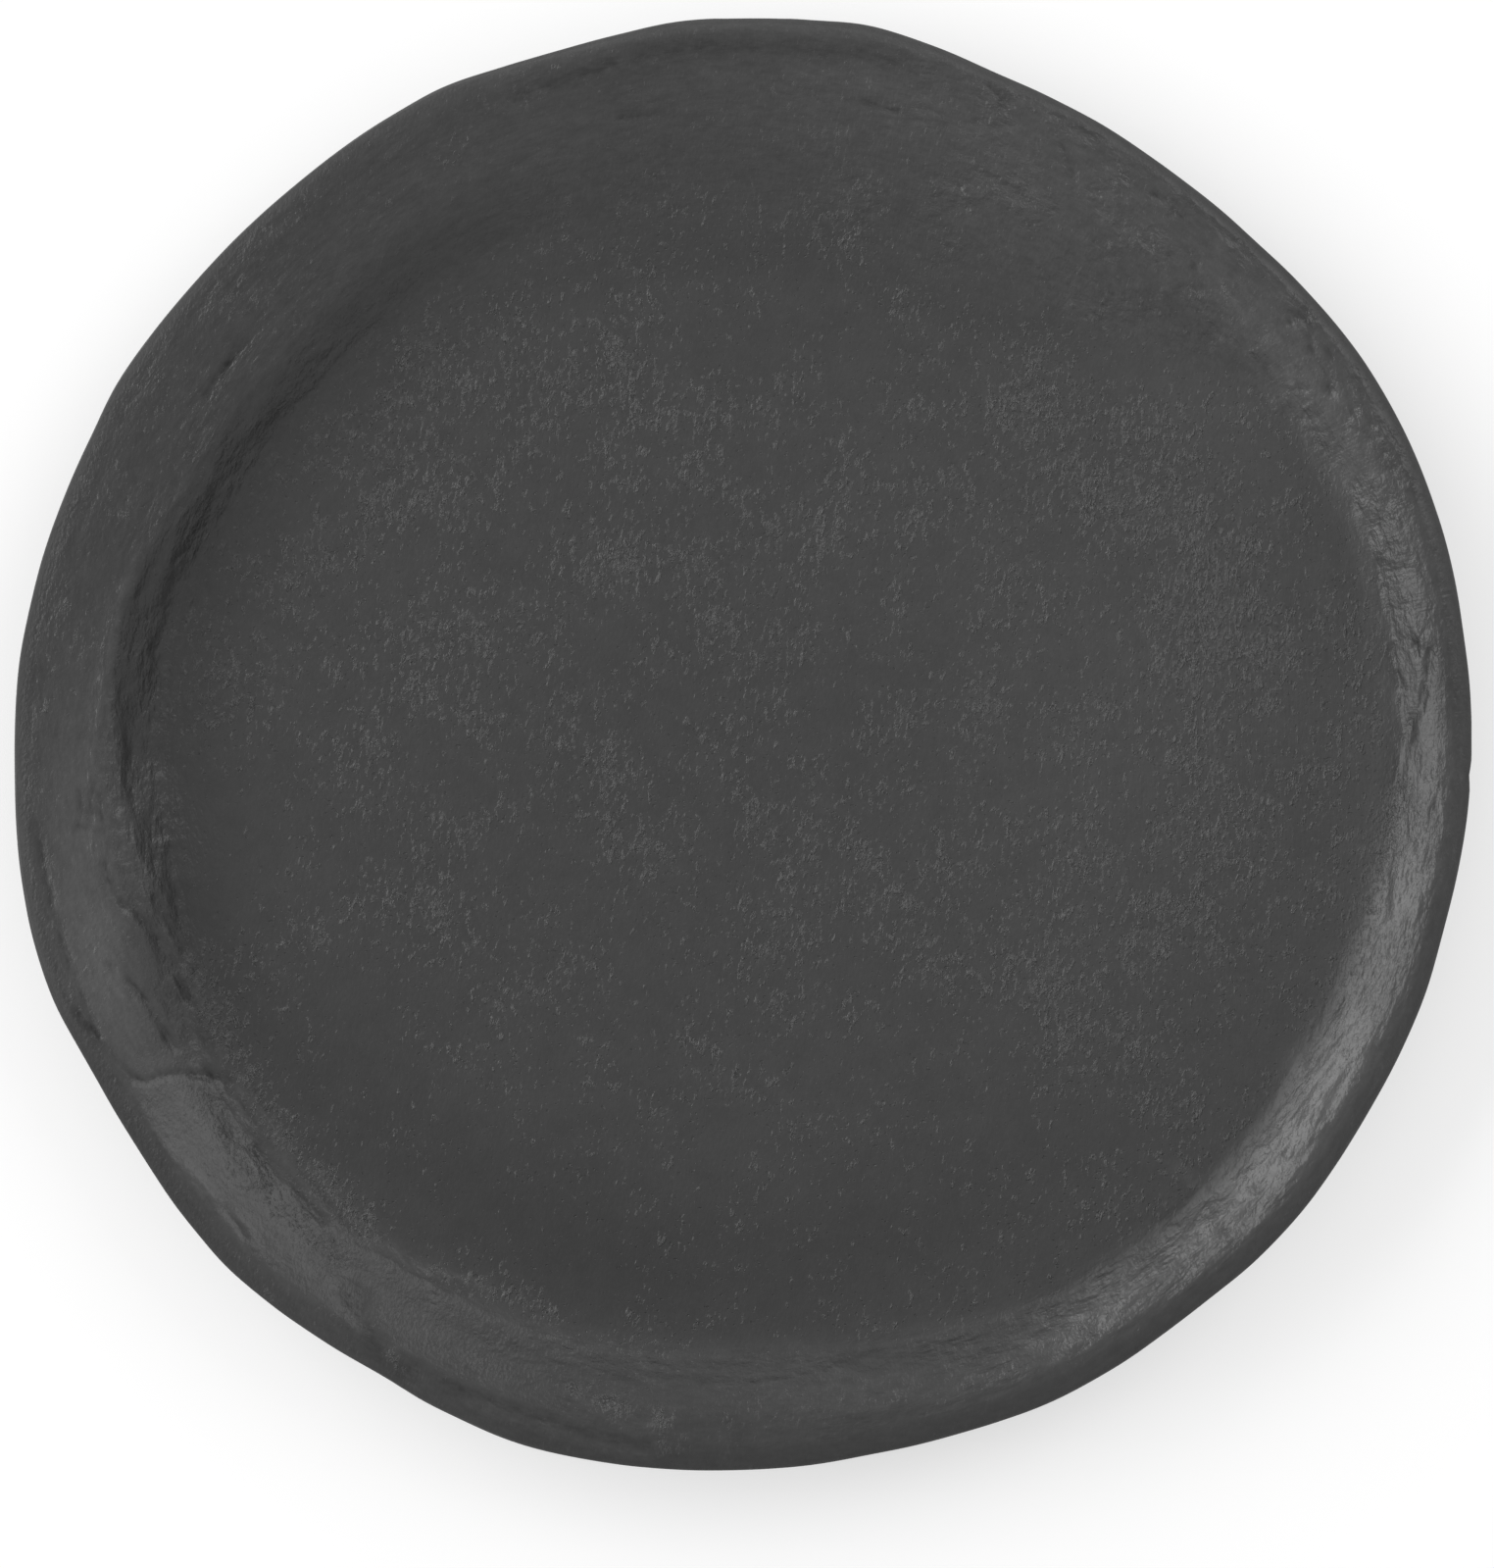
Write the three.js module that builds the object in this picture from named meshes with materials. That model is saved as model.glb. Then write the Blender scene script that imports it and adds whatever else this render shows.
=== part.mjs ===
// Side plate of hand-formed stoneware under a satin charcoal glaze.
// Millimetres, +Z up. The plate lies on its foot ring, whose bearing face is z = 0 and whose axis is Z.
// Angles are degrees counter-clockwise from +X, seen from above.
import * as THREE from "three";

// Driving dimensions
const edgeRadius = 82.2; // mean radius of the uneven outer edge
const footHeight = 2.4; // bearing face to the underside of the floor
const floorThickness = 4.6; // floor of the well with its two coats of glaze
const hollowRise = 0.18; // height that the hollow between floor and wall gains for each mm of its run
const wallCrown = 0.35; // how far the middle of the wall stands over the straight line
const edgeDrop = 1.2; // crest of the lip to the widest point of the edge
const lipRoll = 0.35; // share of that drop at the middle of the lip
const lipThickness = 3.7; // widest point of the edge to the turn under it
const lipReturn = 1; // how far the turn under the edge lies inside it
const baseTurn = 2.6; // how far the outside wall meets the base outside the wall foot
const baseRun = 3; // how far the base reaches inside the wall foot before it is flat
const baseRise = 2.2; // height of that turn over the underside of the floor
const footInset = 25; // mean edge to the outside of the foot ring
const footWidth = 5.2; // foot ring at its root
const footChamfer = 0.6; // bevel on both corners of the bearing face
const footFillet = 1.2; // hollow between foot ring and floor
const glazeThickness = 0.35;
const glazeStop = 1; // height over the bearing face where the glaze ends

// How far the edge stands outside its mean radius, at the corners and flats of its outline: [angle, mm]
const edgeWander = [
  [0, 0.2], [12, 0.3], [25, 0.6], [36, 0.1], [48, -1], [60, -1], [70, -0.8], [80, 0.4], [86, 0.1], [96, 0],
  [102, -0.6], [110, -0.7], [115, -0.3], [122, -0.6], [140, -1], [150, -0.4], [156, -0.5], [174, 0.3],
  [181, 0.3], [195, 1.1], [200, 1.1], [206, 0.3], [214, 0.3], [225, 1.1], [240, 0.2], [253, 0.9], [266, 0.2],
  [282, -0.6], [297, -0.2], [308, -0.4], [318, 0.2], [330, -0.3], [336, -0.1], [345, -0.2],
];

// The pressed rim changes round the plate: [angle, lip inset, lip rise, ridge inset, ridge rise,
// wall foot inset, hollow run, underside inset, underside rise].
// Insets run inwards from the edge, rises upwards from the floor of the well.
const rimStations = [
  [0, 2.1, 4.4, 3.5, 4, 7.8, 3.5, 2.2, -1.2],
  [30, 1.8, 4.2, 3.4, 3.9, 9.6, 2.5, 2.8, -1.2],
  [60, 1.4, 3.9, 7, 3.7, 20, 8, 3.8, -1.2],
  [90, 1.5, 4.4, 4.6, 3.7, 20, 9, 4, -0.8],
  [120, 0.5, 4.9, 11, 4.8, 18.5, 8, 6.4, 0],
  [150, 0.4, 5.8, 12.6, 5.9, 18, 8, 7.4, 1],
  [165, 0.4, 6.1, 10.6, 6.3, 16.2, 8, 7.2, 1.2],
  [180, 0.4, 6.1, 9.8, 6.3, 15.4, 9, 6.6, 1.2],
  [195, 0.8, 5.8, 10.2, 6.2, 17, 7, 4.6, 0.6],
  [210, 2.3, 5.4, 3.6, 5.1, 11.2, 4.5, 2.8, 0],
  [222, 2.5, 5.4, 4, 5, 11.3, 3.8, 2.7, -0.2],
  [240, 2.8, 5.2, 4.5, 4.8, 11.6, 3, 2.6, -0.4],
  [270, 3.2, 4.8, 6.3, 4.5, 12.8, 2.2, 2.4, -0.6],
  [300, 2.5, 4.9, 3.8, 4.7, 9.8, 1.8, 2.4, -0.8],
  [330, 2, 4.9, 3.4, 4.7, 9.4, 1.6, 2.2, -0.8],
];

// Mesh steps
const spokeCount = 72;
const curveSteps = 2; // steps in each stretch of a section's curve
const wellRings = [0.4, 0.8]; // rings across the flat of the well and of the base

const wellHeight = footHeight + floorThickness;
const footOuter = edgeRadius - footInset;
const footInner = footOuter - footWidth;

// A smooth periodic course through rows of [angle, values...].
function courseRound(rows) {
  const closed = [...rows, [rows[0][0] + 360, ...rows[0].slice(1)]];
  const course = new THREE.CubicInterpolant(
    closed.map((row) => row[0]),
    closed.flatMap((row) => row.slice(1)),
    rows[0].length - 1,
  );
  course.settings = { endingStart: THREE.WrapAroundEnding, endingEnd: THREE.WrapAroundEnding };
  return (angle) => [...course.evaluate(angle)];
}

const wanderAt = courseRound(edgeWander);
const rimAt = courseRound(rimStations);

// The face in section, from the axis out over the well, wall, ridge, lip and edge, under the rim and down
// the outside of the foot ring to where the glaze ends. Points are (radius, height).
function faceSection(angle) {
  const edge = edgeRadius + wanderAt(angle)[0];
  const [lipIn, lipRise, ridgeIn, ridgeRise, wallIn, hollow, underIn, underRise] = rimAt(angle);
  const wallRise = hollow * hollowRise;
  const edgeRise = lipRise - edgeDrop;
  const rim = [
    [wallIn + hollow, 0],
    [wallIn, wallRise],
    [(wallIn + ridgeIn) / 2, (wallRise + ridgeRise) / 2 + wallCrown],
    [ridgeIn, ridgeRise],
    [lipIn, lipRise],
    [lipIn / 2, lipRise - edgeDrop * lipRoll],
    [0, edgeRise],
    [lipReturn, edgeRise - lipThickness],
    [underIn, underRise],
    [wallIn - baseTurn, baseRise - floorThickness],
    [wallIn + baseRun, -floorThickness],
  ].map(([inset, rise]) => new THREE.Vector3(edge - inset, wellHeight + rise));
  const curve = new THREE.CatmullRomCurve3(rim, false, "centripetal");
  const flat = wellRings.map((share) => new THREE.Vector2((edge - wallIn - hollow) * share, wellHeight));
  return [
    new THREE.Vector2(0, wellHeight),
    ...flat,
    ...curve.getPoints(curveSteps * (rim.length - 1)).map((p) => new THREE.Vector2(p.x, p.y)),
    new THREE.Vector2(footOuter + footFillet, footHeight),
    new THREE.Vector2(footOuter, footHeight - footFillet),
    new THREE.Vector2(footOuter, glazeStop),
  ];
}

// The underside inside the foot ring, from the axis out and down the ring to where the glaze ends.
function baseSection() {
  const flat = wellRings.map((share) => new THREE.Vector2((footInner - footFillet) * share, footHeight));
  return [
    new THREE.Vector2(0, footHeight),
    ...flat,
    new THREE.Vector2(footInner - footFillet, footHeight),
    new THREE.Vector2(footInner, footHeight - footFillet),
    new THREE.Vector2(footInner, glazeStop),
  ];
}

// The clay surface under a coat: each point of the section goes in by the glaze, and the coat runs out to
// nothing at the section's last point. side is 1 where the clay lies to the right of the section, else -1.
function underCoat(section, side) {
  return section.map((point, i) => {
    if (i === section.length - 1) return point.clone();
    const before = section[Math.max(i - 1, 0)];
    const after = section[i + 1];
    const along = after.clone().sub(before).normalize();
    if (i === 0) along.set(1, 0);
    return point.clone().add(new THREE.Vector2(along.y, -along.x).multiplyScalar(side * glazeThickness));
  });
}

// A closed solid from its half-sections. sectionAt(angle) starts on the axis and comes back to it.
function spunSolid(sectionAt) {
  const angles = Array.from({ length: spokeCount }, (_, j) => (360 * j) / spokeCount);
  const spokes = angles.map((angle) => {
    const turn = THREE.MathUtils.degToRad(angle);
    return sectionAt(angle).map((p) => new THREE.Vector3(p.x * Math.cos(turn), p.x * Math.sin(turn), p.y));
  });
  const ringCount = spokes[0].length - 2;
  const points = [spokes[0][0], ...spokes.flatMap((spoke) => spoke.slice(1, -1)), spokes[0].at(-1)];
  const last = points.length - 1;
  const number = (ring, spoke) => 1 + (spoke % spokeCount) * ringCount + ring;
  const faces = [];
  for (let j = 0; j < spokeCount; j++) {
    faces.push(0, number(0, j), number(0, j + 1));
    for (let i = 0; i < ringCount - 1; i++) {
      const [a, b] = [number(i, j), number(i + 1, j)];
      const [d, c] = [number(i, j + 1), number(i + 1, j + 1)];
      if (points[a].distanceTo(points[c]) < points[b].distanceTo(points[d])) faces.push(a, b, c, a, c, d);
      else faces.push(a, b, d, b, c, d);
    }
    faces.push(last, number(ringCount - 1, j + 1), number(ringCount - 1, j));
  }
  const solid = new THREE.BufferGeometry().setFromPoints(points);
  solid.setIndex(faces);
  solid.computeVertexNormals();
  return solid;
}

// The fired clay: under the face coat, round the bare bearing face and under the base coat.
function claySection(angle) {
  const bearing = [
    new THREE.Vector2(footOuter, footChamfer),
    new THREE.Vector2(footOuter - footChamfer, 0),
    new THREE.Vector2(footInner + footChamfer, 0),
    new THREE.Vector2(footInner, footChamfer),
  ];
  return [...underCoat(faceSection(angle), 1), ...bearing, ...underCoat(baseSection(), -1).reverse()];
}

function faceGlazeSection(angle) {
  const outside = faceSection(angle);
  return [...outside, ...underCoat(outside, 1).reverse().slice(1)];
}

function baseGlazeSection() {
  const outside = baseSection();
  return [...underCoat(outside, -1), ...outside.reverse().slice(1)];
}

const clay = new THREE.MeshStandardMaterial({ color: 0x655d55, roughness: 0.9, metalness: 0 });
const faceCoat = new THREE.MeshStandardMaterial({ color: 0x464646, roughness: 0.5, metalness: 0 });
const baseCoat = new THREE.MeshStandardMaterial({ color: 0x424242, roughness: 0.55, metalness: 0 });

function piece(name, sectionAt, material) {
  const mesh = new THREE.Mesh(spunSolid(sectionAt), material);
  mesh.name = name;
  return mesh;
}

const plate = new THREE.Group();
plate.add(
  piece("clay_body", claySection, clay),
  piece("face_glaze", faceGlazeSection, faceCoat),
  piece("base_glaze", baseGlazeSection, baseCoat),
);

export default plate;
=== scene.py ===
import math

import bmesh
import bpy
import numpy as np
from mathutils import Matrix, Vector, noise


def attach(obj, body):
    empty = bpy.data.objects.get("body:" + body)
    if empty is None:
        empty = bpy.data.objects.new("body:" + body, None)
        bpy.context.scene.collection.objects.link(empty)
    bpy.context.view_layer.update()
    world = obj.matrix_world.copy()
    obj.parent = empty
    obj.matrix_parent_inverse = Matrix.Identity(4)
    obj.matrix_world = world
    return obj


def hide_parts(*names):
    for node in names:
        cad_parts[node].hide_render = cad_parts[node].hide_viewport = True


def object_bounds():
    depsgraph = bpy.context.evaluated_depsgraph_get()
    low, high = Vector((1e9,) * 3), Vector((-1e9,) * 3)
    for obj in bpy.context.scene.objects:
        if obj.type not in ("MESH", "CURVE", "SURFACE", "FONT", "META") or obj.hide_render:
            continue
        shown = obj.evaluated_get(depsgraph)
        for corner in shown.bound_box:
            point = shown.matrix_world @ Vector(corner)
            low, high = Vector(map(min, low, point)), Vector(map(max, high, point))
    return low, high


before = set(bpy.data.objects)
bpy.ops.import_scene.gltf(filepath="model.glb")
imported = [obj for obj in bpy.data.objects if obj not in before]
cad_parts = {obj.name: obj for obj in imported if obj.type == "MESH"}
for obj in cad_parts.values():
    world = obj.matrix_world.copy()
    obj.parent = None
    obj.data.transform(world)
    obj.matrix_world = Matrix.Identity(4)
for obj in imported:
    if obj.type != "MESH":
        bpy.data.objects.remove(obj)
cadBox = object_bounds()
print("frame loaded:", ", ".join(sorted(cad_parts)))

mm = 0.001  # sizes are in millimetres unless a note says otherwise
plateWide = (cadBox[1].x - cadBox[0].x) / mm
plateTop = cadBox[1].z / mm

# The plate's place in the picture, in pixels. The marks in the rim are placed by the same pixels.
picture = {
    "wide": 1524,
    "high": 1599,
    "plateLeft": 17,
    "plateRight": 1503,
    "centre": (759.5, 759.5),
}
pixel = plateWide / (picture["plateRight"] - picture["plateLeft"])


def onPlate(spot):
    return ((spot[0] - picture["centre"][0]) * pixel, (picture["centre"][1] - spot[1]) * pixel)


# A socket that can stand in a sum: an expression on wires adds its Math nodes
class Wire:
    def __init__(self, tree, socket=None):
        self.tree = tree
        self.socket = socket

    # any node: its settings come first, then the values or wires of its sockets
    def node(self, kind, settings=None, sockets=None, output=0):
        made = self.tree.nodes.new("ShaderNode" + kind)
        for name, value in (settings or {}).items():
            setattr(made, name, value)
        for name, value in (sockets or {}).items():
            if isinstance(value, Wire):
                self.tree.links.new(value.socket, made.inputs[name])
            else:
                made.inputs[name].default_value = value
        return Wire(self.tree, made.outputs[output])

    # another output of the same node
    def other(self, output):
        return Wire(self.tree, self.socket.node.outputs[output])

    def math(self, operation, first, second=0.0):
        return self.node("Math", {"operation": operation}, {0: first, 1: second})

    def __add__(self, other):
        return self.math("ADD", self, other)

    def __radd__(self, other):
        return self.math("ADD", other, self)

    def __sub__(self, other):
        return self.math("SUBTRACT", self, other)

    def __rsub__(self, other):
        return self.math("SUBTRACT", other, self)

    def __mul__(self, other):
        return self.math("MULTIPLY", self, other)

    def __rmul__(self, other):
        return self.math("MULTIPLY", other, self)

    def __abs__(self):
        return self.math("ABSOLUTE", self)

    # 0 below low, 1 above high, smooth between; low over high turns it round
    def ramp(self, low, high):
        ends = {"From Min": low, "From Max": high}
        return self.node("MapRange", {"interpolation_type": "SMOOTHSTEP"}, {"Value": self, **ends})

    # vectors
    def scaled(self, amount):
        return self.node("VectorMath", {"operation": "SCALE"}, {0: self, "Scale": amount})

    def plus(self, vector):
        return self.node("VectorMath", {"operation": "ADD"}, {0: self, 1: vector})

    def stretched(self, lean, wide, long):
        turn = (0, 0, math.radians(lean))
        sockets = {"Vector": self, "Rotation": turn, "Scale": (wide, long, wide)}
        return self.node("Mapping", {"vector_type": "TEXTURE"}, sockets)

    # colours
    def tinted(self, other, share):
        return self.node("Mix", {"data_type": "RGBA"}, {0: share, 6: self, 7: other}, 2)

    # cloudy noise about 0, from -0.5 to 0.5, with lumps of this size
    def cloud(self, size, detail):
        return self.node("TexNoise", {}, {"Vector": self, "Scale": 1 / size, "Detail": detail}) - 0.5

    # the noise in patches: the levels where one starts and is full, the least strength and what it gains
    def patches(self, size, detail, low, high, least, gain):
        return self.cloud(size, detail).ramp(low, high) * gain + least

    # a share that comes with the points of the piece
    def share(self, name):
        return self.node("Attribute", {"attribute_name": name}, output="Fac")


def grey(level):
    return (level, level, level, 1.0)


def newMaterial(name):
    material = bpy.data.materials.new(name)
    material.use_nodes = True
    material.node_tree.nodes.clear()
    return material, Wire(material.node_tree)


def closeMaterial(material, surface):
    end = material.node_tree.nodes.new("ShaderNodeOutputMaterial")
    material.node_tree.links.new(surface.socket, end.inputs["Surface"])
    return material


# Where a point of the piece lies, in millimetres, and the same drawn out along the rim
def placeOn(wire):
    return wire.node("TexCoord", output="Object").scaled(1 / mm)


def alongRim(place, along, across):
    flat = place.node("VectorMath", {"operation": "MULTIPLY"}, {0: place, 1: (1, 1, 0)})
    bearing = flat.node("VectorMath", {"operation": "NORMALIZE"}, {0: flat})
    radius = flat.node("VectorMath", {"operation": "LENGTH"}, {0: flat}, "Value")
    lift = radius.node("CombineXYZ", {}, {"Z": radius * (1 / across)})
    return bearing.scaled(plateWide / 2 / along).plus(lift)


# Charcoal glaze: a satin grey with short raised strokes and pits that crowd in patches. The rim is
# rougher: fibres and crumples drawn along it, and in places drag lines across it. Shares come with the
# piece. Strokes are (lean, wide, long), what is drawn along the rim is (along, across, detail, strength),
# and patches are (size, detail, level where one starts, level where it is full, least strength, gain).
charcoalLook = {
    "tone": (0.0355, 0.0355, 0.0355),
    # paler colour of the raised strokes, partly their own colour and partly a painted glint
    "strokePaleAndGlintTone": grey(0.13),
    "cloudSize": 26,
    "cloudShade": 0.2,
    "mottleSize": 2.6,
    "mottleShade": 0.28,
    "roughness": 0.38,
    "roughnessSpread": 0.2,
    "rimShine": 0.07,
    "matt": 0.28,        # rougher on the edge of the lip and the foot of the right wall
    "crowdSize": 8,
    "crowdPull": 0.5,    # how far a crowded patch lowers the level at which a fleck shows
    "flecks": [(-8, 0.5, 1.8, 3), (22, 0.45, 1.3, 11), (-38, 0.5, 1.1, 23)],  # and a shift
    "fleckWide": 0.08,
    "fleckTorn": (-6, 0.6, 1.2),
    "fleckLevel": (0.05, 0.23),
    "fleckPatch": (1.6, 2, -0.2, 0.25, 0.15, 1.7),
    "fleckHeight": 0.09,
    "fleckPaleAndGlint": 0.22,
    "pitSize": 0.45,
    "pitLevel": (0.16, 0.26),
    "pitCrowd": 0.4,     # pits crowd less than flecks
    "pitDepth": 0.07,
    "grain": (-8, 0.36, 0.6),
    "grainLeast": 0.35,  # where no flecks crowd
    "grainHeight": 0.2,
    "grainShade": 0.9,
    "wipe": (2, 0.24, 5),  # upright streaks where it was wiped
    "wipeShade": 0.35,
    "wipeHeight": 0.07,
    "rimStreak": (2, 0.6, 4, 0.85),  # streaks of tone
    "markBreaks": (1.5, 0.5),  # the painted light and shade of a mark break up along the rim
    "markBreakPatch": (1, 3, -0.2, 0.22, 0.2, 1.3),
    "fibres": [(6, 1.3, 4, 0.5), (1.8, 0.5, 4, 0.3)],
    "fibrePatch": (7, 3, -0.12, 0.12, 0.1, 0.95),
    "crumple": (3.1, 1.6, 4, 0.82),
    "crumplePatch": (5, 2, -0.12, 0.16, 0.15, 0.85),
    "drag": (0.5, 4.5, 1.5, 0.09),
}


def charcoalGlaze(name, look):
    material, wire = newMaterial(name)
    place = placeOn(wire)
    rough, drag, folded = wire.share("roughShare"), wire.share("dragShare"), wire.share("foldShare")
    paintedLight, mark, matt = wire.share("paintedLightShadeShare"), wire.share("markShadeShare"), wire.share("mattShare")
    well, bunch, wiped = wire.share("wellShare"), wire.share("crowdShare"), wire.share("wipeShare")

    def rimNoise(along, across, detail, strength):
        return alongRim(place, along, across).cloud(1, detail) * strength

    crowd = place.cloud(look["crowdSize"], 3) * look["crowdPull"] + bunch
    torn = (place.stretched(*look["fleckTorn"]).cloud(1, 2) + crowd).ramp(*look["fleckLevel"])
    fleck = 0
    for lean, wide, long, shift in look["flecks"]:
        line = place.plus((shift, shift, 0)).stretched(lean, wide, long).cloud(1, 2)
        fleck = wire.math("MAXIMUM", abs(line).ramp(look["fleckWide"], 0), fleck)
    fleck = fleck * torn * place.patches(*look["fleckPatch"]) * well
    pit = (place.cloud(look["pitSize"], 1) + crowd * look["pitCrowd"]).ramp(*look["pitLevel"]) * well
    grain = place.stretched(*look["grain"]).cloud(1, 2) * (look["grainLeast"] + torn * well)
    mottle = place.cloud(look["mottleSize"], 3)
    wipe = place.stretched(*look["wipe"]).cloud(1, 2) * wiped

    shade = 1 + place.cloud(look["cloudSize"], 1) * look["cloudShade"] + mottle * look["mottleShade"]
    shade = shade + wipe * look["wipeShade"] + grain * look["grainShade"]
    shade = shade + rimNoise(*look["rimStreak"]) * (1 - well)
    broken = alongRim(place, *look["markBreaks"]).patches(*look["markBreakPatch"])
    # painted light and shade: the patches lighten and darken the glaze colour, and the marks add painted
    # light on ridges and painted shade in grooves
    shade = shade * (1 + paintedLight + mark * broken)
    colour = wire.node("VectorMath", {"operation": "SCALE"}, {0: look["tone"], "Scale": shade})
    # the raised strokes are tinted paler: partly a paler colour of their own, partly a painted glint
    # where they catch the lamp
    colour = colour.tinted(look["strokePaleAndGlintTone"], fleck * look["fleckPaleAndGlint"])

    height = fleck * look["fleckHeight"] - pit * look["pitDepth"] + grain * look["grainHeight"]
    height = height + wipe * look["wipeHeight"]
    patch = place.patches(*look["fibrePatch"])
    for fibre in look["fibres"]:
        height = height + rimNoise(*fibre) * rough * patch
    height = height + rimNoise(*look["crumple"]) * folded * place.patches(*look["crumplePatch"])
    height = height + rimNoise(*look["drag"]) * drag * patch
    bump = wire.node("Bump", {}, {"Strength": 1.0, "Distance": mm, "Height": height})
    roughness = look["roughness"] + mottle * look["roughnessSpread"] - rough * look["rimShine"]
    roughness = roughness + matt * look["matt"]
    sockets = {"Base Color": colour, "Roughness": roughness, "Normal": bump}
    return closeMaterial(material, wire.node("BsdfPrincipled", {}, sockets))


# Bare fired clay on the bearing face of the foot: warm dark grey, open grain, no shine
clayLook = {
    "tone": (0.13, 0.11, 0.091),
    "stain": (0.07, 0.06, 0.05, 1),
    "stainSize": 7,
    "stainLevel": (-0.1, 0.2),
    "stainShare": 0.5,
    "grainSize": 0.35,
    "grainShade": 0.6,
    "grainHeight": 0.12,
    "roughness": 0.9,
}


def bareStoneware(name, look):
    material, wire = newMaterial(name)
    place = placeOn(wire)
    sand = place.cloud(look["grainSize"], 3)
    stain = place.cloud(look["stainSize"], 3).ramp(*look["stainLevel"])
    shade = 1 + sand * look["grainShade"]
    colour = wire.node("VectorMath", {"operation": "SCALE"}, {0: look["tone"], "Scale": shade})
    colour = colour.tinted(look["stain"], stain * look["stainShare"])
    bump = wire.node("Bump", {}, {"Strength": 1.0, "Distance": mm, "Height": sand * look["grainHeight"]})
    sockets = {"Base Color": colour, "Roughness": look["roughness"], "Normal": bump}
    return closeMaterial(material, wire.node("BsdfPrincipled", {}, sockets))


# Half-sections of a CAD node, one for each spoke round the axis: rows of (radius, height) from the
# top of the axis out over the surface and back to the axis
def readSections(nodeName):
    weld, onAxis, sameSpoke = 1e-6, 1e-5, math.cos(math.radians(0.5))
    solid = bmesh.new()
    solid.from_mesh(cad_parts[nodeName].data)
    bmesh.ops.remove_doubles(solid, verts=solid.verts, dist=weld)
    pole = max((v for v in solid.verts if v.co.xy.length < onAxis), key=lambda v: v.co.z)
    spokes = {}
    for start in pole.link_edges:
        walk = [pole, start.other_vert(pole)]
        bearing = walk[1].co.xy.normalized()
        while walk[-1].co.xy.length > onAxis:
            for edge in walk[-1].link_edges:
                ahead = edge.other_vert(walk[-1])
                along = ahead.co.xy.length < onAxis or ahead.co.xy.normalized().dot(bearing) > sameSpoke
                if along and ahead is not walk[-2]:
                    walk.append(ahead)
                    break
        turn = round(math.degrees(math.atan2(bearing.y, bearing.x)), 2) % 360
        spokes[turn] = [(v.co.xy.length / mm, v.co.z / mm) for v in walk]
    solid.free()
    return np.array([spokes[turn] for turn in sorted(spokes)])


# The same sections at more spokes, on a smooth closed course round the plate
def moreSpokes(sections, count):
    known = len(sections)
    place = np.arange(count) * known / count
    start = np.floor(place).astype(int)
    t = (place - start)[:, None, None]
    before, here, after, beyond = (sections[(start + step) % known] for step in (-1, 0, 1, 2))
    bend = 2 * before - 5 * here + 4 * after - beyond + t * (3 * (here - after) + beyond - before)
    return here + 0.5 * t * (after - before + t * bend)


# Rings along the sections, at places counted in CAD rings: 3.25 is a quarter of the way from ring 3 to 4.
# The curve between two rings never swings past them, so flats stay flat.
def ringsAlong(sections, places):
    shortest, level = 1e-9, 1e-12
    reach = np.maximum(np.linalg.norm(np.diff(sections, axis=1), axis=2, keepdims=True), shortest)
    slope = np.diff(sections, axis=1) / reach
    before, after = slope[:, :-1], slope[:, 1:]
    weightBefore = 2 * reach[:, 1:] + reach[:, :-1]
    weightAfter = 2 * reach[:, :-1] + reach[:, 1:]
    sameWay = before * after > level
    safeBefore, safeAfter = np.where(sameWay, before, 1), np.where(sameWay, after, 1)
    middle = (weightBefore + weightAfter) / (weightBefore / safeBefore + weightAfter / safeAfter)
    slope = np.concatenate([slope[:, :1], np.where(sameWay, middle, 0), slope[:, -1:]], axis=1)
    rings = []
    for place in places:
        i = min(int(place), sections.shape[1] - 2)
        t = place - i
        span = reach[:, i]
        rings.append(
            (1 + 2 * t) * (1 - t) ** 2 * sections[:, i] + t * (1 - t) ** 2 * span * slope[:, i]
            + t * t * (3 - 2 * t) * sections[:, i + 1] + t * t * (t - 1) * span * slope[:, i + 1])
    return np.stack(rings, axis=1)


# Rings for a stretch of the sections, about this far apart and spread evenly over each section's own
# length: rows of radius, height and place
def ringsEvenly(sections, first, last, gap):
    fineSteps = 24  # in each CAD ring
    places = np.linspace(first, last, fineSteps * (last - first) + 1)
    fine = ringsAlong(sections, places)
    steps = np.linalg.norm(np.diff(fine, axis=1), axis=2)
    reach = np.concatenate([np.zeros((len(fine), 1)), np.cumsum(steps, axis=1)], axis=1)
    count = max(1, round(reach[:, -1].mean() / gap))
    rows = []
    for section, along in zip(fine, reach):
        even = np.linspace(0, along[-1], count, endpoint=False)
        rows.append(np.stack([np.interp(even, along, column) for column in (*section.T, places)], axis=1))
    return np.array(rows)


# Points of (spoke, ring) rows of radius and height
def spunPoints(rows):
    turn = (np.arange(len(rows)) * 2 * math.pi / len(rows))[:, None]
    radius, height = rows[..., 0], rows[..., 1]
    return np.stack([radius * np.cos(turn), radius * np.sin(turn), height], axis=2)


# How many spokes a ring needs for cells of about this size: the full count halved as far as it goes
def spokesFor(radius, full, cell):
    count = full
    while count % 2 == 0 and 2 * math.pi * radius / (count / 2) < cell:
        count //= 2
    return count


# Faces between two rings of points, given as (first point, count). The counts are the same, or one is
# double the other, or one ring is a single point on the axis.
def bridge(inner, outer):
    (a, countA), (b, countB) = inner, outer
    if countA == 1:
        return [(a, b + i, b + (i + 1) % countB) for i in range(countB)]
    if countB == 1:
        return [(a + i, b, a + (i + 1) % countA) for i in range(countA)]
    faces = []
    for i in range(min(countA, countB)):
        j = (i + 1) % min(countA, countB)
        left, mid, right = 2 * i, 2 * i + 1, (2 * i + 2) % max(countA, countB)
        if countA == countB:
            faces.append((a + i, b + i, b + j, a + j))
        elif countB > countA:
            faces += [(a + i, b + left, b + mid), (a + i, b + mid, a + j), (a + j, b + mid, b + right)]
        else:
            faces += [(b + i, a + mid, a + left), (b + i, b + j, a + mid), (b + j, a + right, a + mid)]
    return faces


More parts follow.
